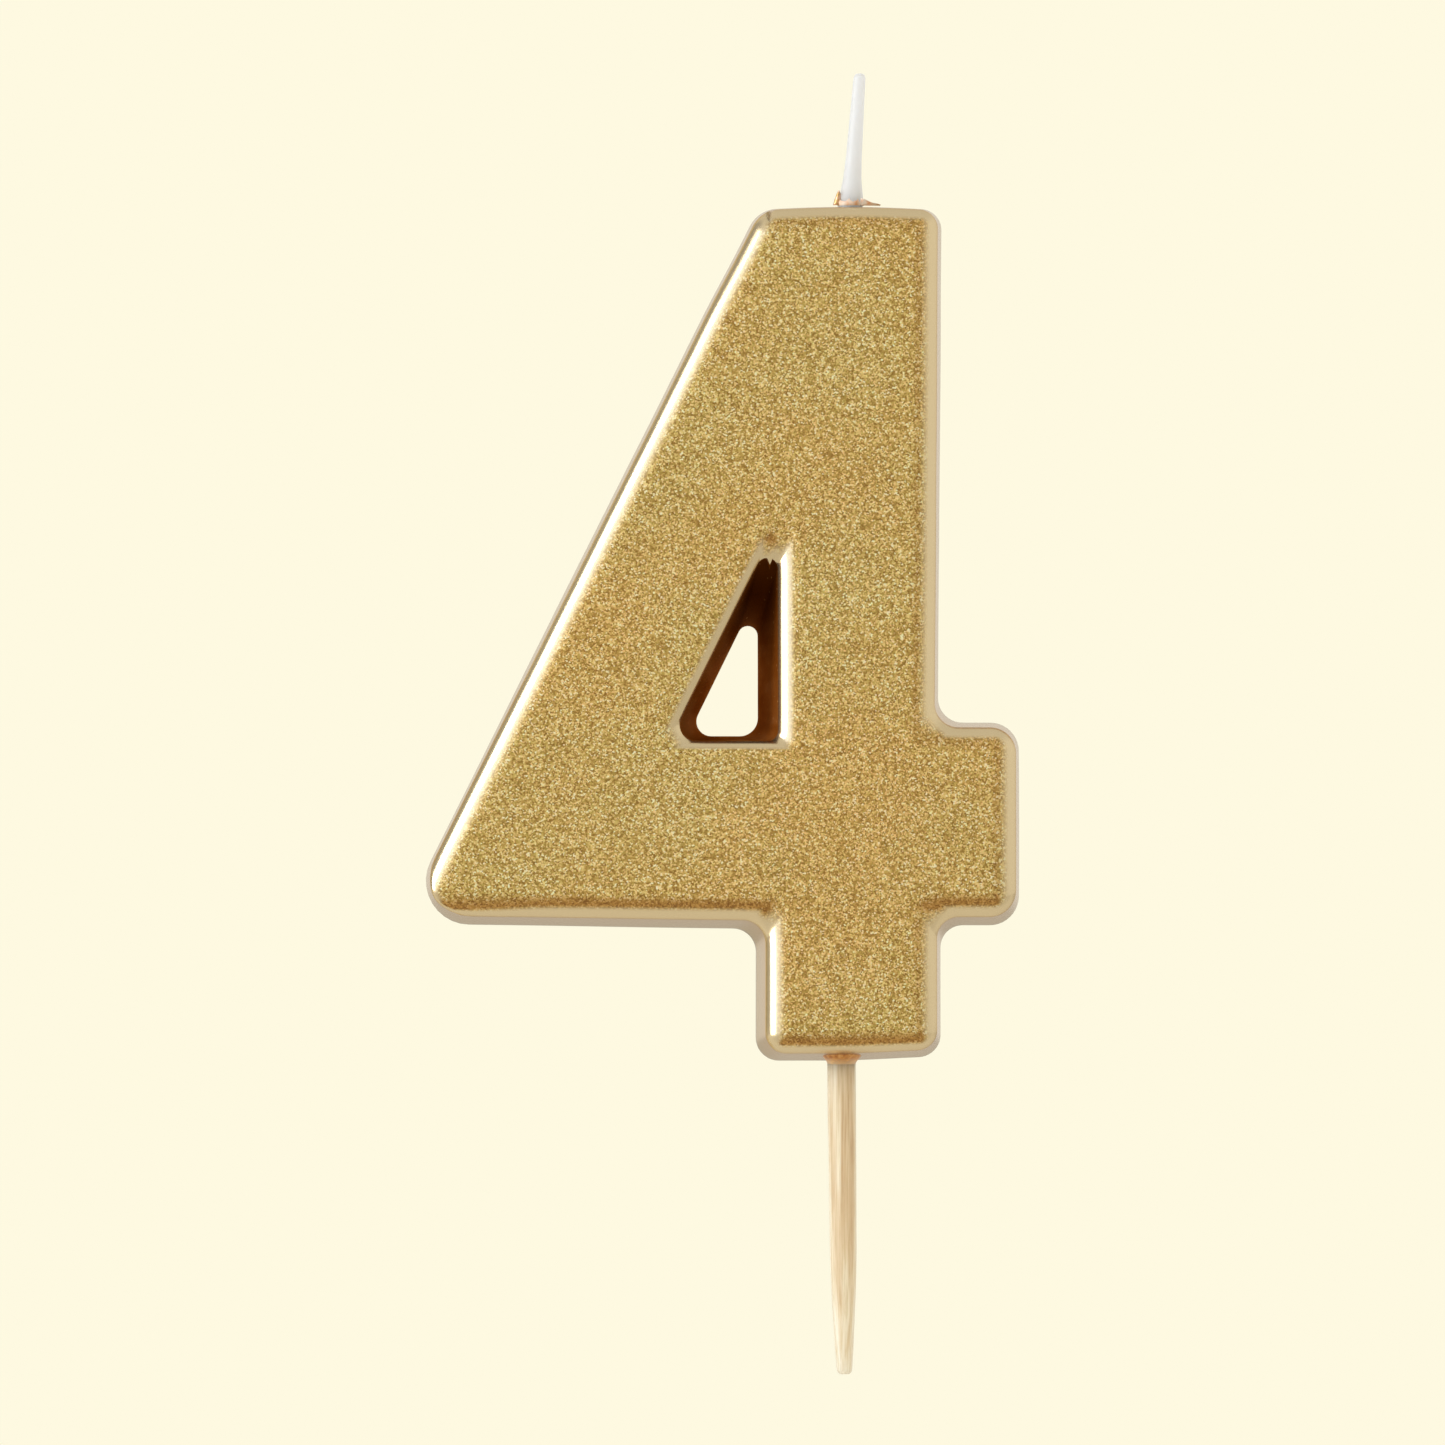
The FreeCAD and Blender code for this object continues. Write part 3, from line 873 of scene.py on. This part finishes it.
def build_core(figure, material):
    """The wax inside the lacquer: the figure's surface moved in by the lacquer's thickness."""
    data = figure.data.copy()
    data.name = "wax_core"
    data.materials.clear()
    data.materials.append(material)
    inward = [vert.co - vert.normal * LACQUER * MM for vert in data.vertices]
    for vert, place in zip(data.vertices, inward):
        vert.co = place
    for face in data.polygons:
        face.material_index = 0
    core = bpy.data.objects.new("wax_core", data)
    bpy.context.scene.collection.objects.link(core)
    return core


# ---------------------------------------------------------------- turned and drawn pieces

def build_tube(name, stations, around, shape, material):
    """A closed tube through (centre, radius) stations; shape(angle, height) scales the radius."""
    shell = Shell()
    rings = []
    for centre, radius in stations:
        points = []
        for index in range(around):
            angle = 2 * math.pi * index / around
            reach = radius * shape(angle, centre.z)
            points.append(centre + Vector((math.cos(angle), math.sin(angle), 0.0)) * reach)
        rings.append(shell.ring(points, FLAT))
    for first, second in zip(rings, rings[1:]):
        shell.join(first, second)
    for ring in (rings[0], rings[-1]):
        shell.mesh.faces.new(ring)
    return shell.finish(name, material)


# (height above the pick's tip, radius): it tapers over its lower half, and its end is worn
PICK_PROFILE = [(0.0, 0.62), (2.3, 0.765), (4.1, 0.855), (6.0, 0.96), (7.8, 1.035)]
PICK_PROFILE += [(9.7, 1.085), (13.4, 1.115), (17.0, 1.14), (22.7, 1.165)]
PICK_END = [(0.0, 0.40), (0.12, 0.54)]


def build_pick(material):
    """The wooden pick, up to 1.2 mm inside the figure: round, a little faceted, and a touch askew."""
    stations = [(pick_centre(PICK_TIP + rise), radius) for rise, radius in PICK_END]
    start, end = 0.3, 1.2 - PICK_TIP
    steps = 46
    for step in range(steps + 1):
        rise = start + (end - start) * step / steps
        stations.append((pick_centre(PICK_TIP + rise), straight_between(PICK_PROFILE, rise)))

    def grain(angle, height):
        groove = noise.noise(Vector((math.cos(angle) * 3.2, math.sin(angle) * 3.2, height / 14.0)))
        fine = noise.noise(Vector((math.cos(angle) * 9.0, math.sin(angle) * 9.0, height / 20.0)))
        return 1.0 - 0.018 * abs(groove) - 0.012 * abs(fine)

    return build_tube("pick", stations, 64, grain, material)


def build_bead(material):
    """The drop of lacquer round the pick: a thin uneven skirt under the figure."""
    stations = []
    start, end = BEAD_FOOT + 0.02, 1.12
    steps = 16
    for step in range(steps + 1):
        part = step / steps
        flare = 0.70 * part ** 1.4 - 0.03
        stations.append((pick_centre(start + (end - start) * part), PICK_RADIUS + flare))

    def ragged(angle, height):
        wave = noise.noise(Vector((math.cos(angle) * 1.3, math.sin(angle) * 1.3, 7.0)))
        run = 0.55 * max(0.0, -math.sin(angle)) * ease(-0.35, 0.35, height)
        return 1.0 + 0.05 * wave - 0.02 * abs(math.cos(angle)) + run

    return build_tube("bead", stations, 48, ragged, material)


WICK_RISE = WICK_TIP - TOP
WICK_SUNK = 1.0
# (height above the figure's top, radius), and for the rounded end (distance below the tip, share of
# the last radius)
WICK_PROFILE = [(-WICK_SUNK, 1.06), (0.3, 1.02), (1.1, 0.88), (1.9, 0.76), (3.5, 0.66)]
WICK_PROFILE += [(WICK_RISE - 0.6, 0.50), (WICK_RISE, 0.49)]
WICK_END = [(0.22, 0.93), (0.10, 0.80), (0.03, 0.55), (0.0, 0.25)]


def build_wick(material):
    """The wax coated wick: a straight stalk with a soft flare at its foot and a rounded tip."""
    stations = []
    start, end = -WICK_SUNK, WICK_RISE - 0.4
    steps = 60
    for step in range(steps + 1):
        height = start + (end - start) * step / steps
        stations.append((wick_centre(height), straight_between(WICK_PROFILE, height)))
    last_radius = WICK_PROFILE[-1][1]
    for below, share in WICK_END:
        stations.append((wick_centre(WICK_RISE - below), last_radius * share))

    def uneven(angle, height):
        ridge = noise.noise(Vector((math.cos(angle) * 1.1, math.sin(angle) * 1.1, height / 4.0)))
        lump = noise.noise(Vector((math.cos(angle) * 2.5, math.sin(angle) * 2.5, height / 1.4)))
        return 1.0 - 0.04 * abs(ridge) - 0.015 * abs(lump)

    return build_tube("wick", stations, 48, uneven, material)


def add_film(shell, rows, thickness, slots):
    """A thin closed sheet through rows of points: its front in the first slot, the rest in the second."""
    front_slot, rest_slot = slots
    shift = Vector((0.0, thickness, 0.0))
    front = [shell.ring(row, FLAT) for row in rows]
    back = [shell.ring([point + shift for point in row], FLAT) for row in rows]
    last = len(rows[0]) - 1

    def quad(slot, *corners):
        shell.mesh.faces.new(corners).material_index = slot

    for near, far, near_back, far_back in zip(front, front[1:], back, back[1:]):
        for left in range(last):
            right = left + 1
            quad(front_slot, near[left], near[right], far[right], far[left])
            quad(rest_slot, near_back[left], far_back[left], far_back[right], near_back[right])
        for end in (0, last):
            quad(rest_slot, near[end], far[end], far_back[end], near_back[end])
    for ahead, behind in ((front[0], back[0]), (front[-1], back[-1])):
        for left in range(last):
            right = left + 1
            quad(rest_slot, ahead[left], ahead[right], behind[right], behind[left])


def flake_rows():
    """A pointed flake that stands up at the left of the wick's foot."""
    rows = []
    for step in range(9):
        part = step / 8
        half = 0.56 * (1.0 - part) ** 0.8 + 0.03
        row = []
        for across in (-1.0, -0.6, -0.2, 0.2, 0.6, 1.0):
            ragged = 0.05 * noise.noise(Vector((across * 2.0, part * 6.0, 3.0)))
            x = -0.86 - 0.10 * part + half * across + ragged
            y = -0.55 - 0.15 * part + 0.35 * across * across + 0.25 * across
            row.append(WICK_FOOT + Vector((x, y, -0.2 + 1.20 * part + ragged)))
        rows.append(row)
    return rows


def flap_rows():
    """A low curled flap along the top at the right of the wick's foot."""
    rows = []
    for step in range(6):
        part = step / 5
        row = []
        for along in (0.0, 0.2, 0.4, 0.6, 0.8, 1.0):
            ragged = 0.06 * noise.noise(Vector((along * 7.0, part, 9.0)))
            rise = (0.44 * (1.0 - along) ** 1.2 + 0.06 + ragged) * part
            x = 0.75 + 1.65 * along + 0.05 * part
            row.append(WICK_FOOT + Vector((x, -0.75 + 0.25 * along - 0.25 * part, -0.25 + 1.2 * rise)))
        rows.append(row)
    return rows


def collar_rows():
    """A ragged collar round the front of the wick's foot."""
    rows = []
    for step in range(4):
        part = step / 3
        row = []
        for index in range(25):
            angle = math.radians(-178 + 176 * index / 24)
            ragged = 0.5 + 0.9 * noise.noise(Vector((math.cos(angle) * 4.0, math.sin(angle) * 4.0, 5.0)))
            reach = 1.07 + 0.09 * part
            rise = -0.25 + (0.22 + 0.36 * max(ragged, 0.0)) * part
            row.append(WICK_FOOT + Vector((math.cos(angle) * reach, math.sin(angle) * reach, rise)))
        rows.append(row)
    return rows


FLAKE_THICKNESS = 0.10
FLAP_THICKNESS = 0.08


def build_crest(torn, inside):
    """Torn lacquer film at the wick's foot, whose inner side shows on the flap and the collar."""
    shell = Shell()
    add_film(shell, flake_rows(), FLAKE_THICKNESS, (0, 1))
    add_film(shell, flap_rows(), FLAP_THICKNESS, (1, 1))
    add_film(shell, collar_rows(), FLAP_THICKNESS, (1, 1))
    return shell.finish("crest", torn, inside)


# ---------------------------------------------------------------- build

figure = build_figure(gold_material(), well_material())
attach(figure, ROOT)
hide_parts("gold_lacquer")

core_wax = wax_material("core_wax", (0.86, 0.81, 0.70), (0.80, 0.74, 0.62), 0.3)
core = build_core(figure, core_wax)
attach(core, ROOT)
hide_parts("wax_numeral")

pick = build_pick(wood_material())
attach(pick, ROOT)
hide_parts("wooden_pick")

bead = build_bead(amber_material())
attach(bead, ROOT)
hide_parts("lacquer_bead")

wick = build_wick(wax_material("wick_wax", (0.53, 0.55, 0.59), (0.49, 0.52, 0.56), 1.0))
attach(wick, ROOT)
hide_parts("wick_wax_coat")

crest = build_crest(torn_material(), film_material())
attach(crest, ROOT)
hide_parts("lacquer_crest")

cotton = cotton_material()
CARRIED = {f"wick_ply_{number}": cotton for number in (1, 2, 3)}
for node, material in CARRIED.items():
    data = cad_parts[node].data
    data.materials.clear()
    data.materials.append(material)

# ---------------------------------------------------------------- stage, light and camera

PALE = (0.991, 0.947, 0.752)
SCENE = bpy.context.scene


def build_world():
    """A pale room, seen only in reflections: darker behind the camera, to the left and overhead."""
    world = bpy.data.worlds.new("studio")
    world.use_nodes = True
    SCENE.world = world
    nodes = Nodes(world)
    shown = nodes.tree.nodes["Background"]
    shown.inputs["Color"].default_value = (*PALE, 1.0)
    way = nodes.add("ShaderNodeTexCoord").outputs["Generated"]
    across, deep, up = nodes.add("ShaderNodeSeparateXYZ", {"Vector": way}).outputs
    front = nodes.spread(deep, (-0.50, -0.66), (1.0, 0.84), smooth=True)
    left = nodes.spread(across, (-0.56, -0.80), (1.0, 0.36), smooth=True)
    above = nodes.spread(up, (0.40, 0.90), (1.0, 0.80), smooth=True)
    strength = nodes.math("MULTIPLY", nodes.math("MULTIPLY", front, left), above)
    room = nodes.add("ShaderNodeBackground", {"Color": (0.95, 0.93, 0.86, 1.0), "Strength": strength})
    nodes.put(nodes.tree.nodes["World Output"].inputs["Surface"], nodes.seen_as(shown, room))


FLOOR_HALF = 0.6


def build_floor():
    """A pale floor, even to the camera; reflections see it darker ahead of the candle and behind it."""
    data = bpy.data.meshes.new("floor")
    signs = ((-1, -1), (1, -1), (1, 1), (-1, 1))
    corners = [(x * FLOOR_HALF, y * FLOOR_HALF, PICK_TIP * MM) for x, y in signs]
    data.from_pydata(corners, [], [(0, 1, 2, 3)])
    floor = bpy.data.objects.new("floor", data)
    SCENE.collection.objects.link(floor)
    material = bpy.data.materials.new("floor_paper")
    material.use_nodes = True
    nodes = Nodes(material)
    nodes.tree.nodes.clear()
    depth = nodes.along("Y")
    ahead = nodes.spread(depth, (-0.036, -0.014), (0.74, 0.86), smooth=True)
    beyond = nodes.spread(depth, (0.03, 0.10), (1.0, 0.84), smooth=True)
    bounce = nodes.math("MULTIPLY", ahead, beyond)
    shown = nodes.add("ShaderNodeEmission", {"Color": (*PALE, 1.0)})
    cast = nodes.add("ShaderNodeEmission", {"Color": (0.97, 0.93, 0.82, 1.0), "Strength": bounce})
    nodes.add("ShaderNodeOutputMaterial", {"Surface": nodes.seen_as(shown, cast)})
    data.materials.append(material)


def add_softbox(name, place, target, size, power, colour=(1.0, 1.0, 1.0)):
    """A rectangular light that is turned towards a target."""
    light = bpy.data.lights.new(name, "AREA")
    light.shape = "RECTANGLE"
    light.size, light.size_y = size
    light.energy = power
    light.color = colour
    lamp = bpy.data.objects.new(name, light)
    lamp.location = place
    lamp.rotation_euler = (Vector(target) - Vector(place)).to_track_quat("-Z", "Y").to_euler()
    SCENE.collection.objects.link(lamp)


SENSOR_WIDTH = 36.0
VIEW_WIDTH = 0.1184
VIEW_DISTANCE = 1.0
VIEW_AZIMUTH = math.radians(-1.2)
VIEW_ELEVATION = math.radians(-1.4)
VIEW_TARGET = Vector((-9.85, 5.0, 27.7)) * MM


def build_camera():
    """The camera in front, with a long lens, a little below and to the left of its target."""
    data = bpy.data.cameras.new("camera")
    data.sensor_width = SENSOR_WIDTH
    data.lens = SENSOR_WIDTH * VIEW_DISTANCE / VIEW_WIDTH
    data.clip_start = 0.05
    data.clip_end = 20.0
    camera = bpy.data.objects.new("camera", data)
    way = Vector((
        math.sin(VIEW_AZIMUTH) * math.cos(VIEW_ELEVATION),
        -math.cos(VIEW_AZIMUTH) * math.cos(VIEW_ELEVATION),
        math.sin(VIEW_ELEVATION),
    ))
    camera.location = VIEW_TARGET + way * VIEW_DISTANCE
    camera.rotation_euler = (-way).to_track_quat("-Z", "Y").to_euler()
    SCENE.collection.objects.link(camera)
    SCENE.camera = camera


build_world()
build_floor()
build_camera()
CANDLE_MIDDLE = (0.0, 0.0, 0.03)
add_softbox("key", (-0.70, -0.254, 0.20), CANDLE_MIDDLE, (0.357, 0.50), 4.5)
add_softbox("fill", (-0.51, -0.54, 0.20), CANDLE_MIDDLE, (0.34, 0.50), 0.55, (0.74, 0.92, 1.35))
SCENE.view_settings.view_transform = "Standard"
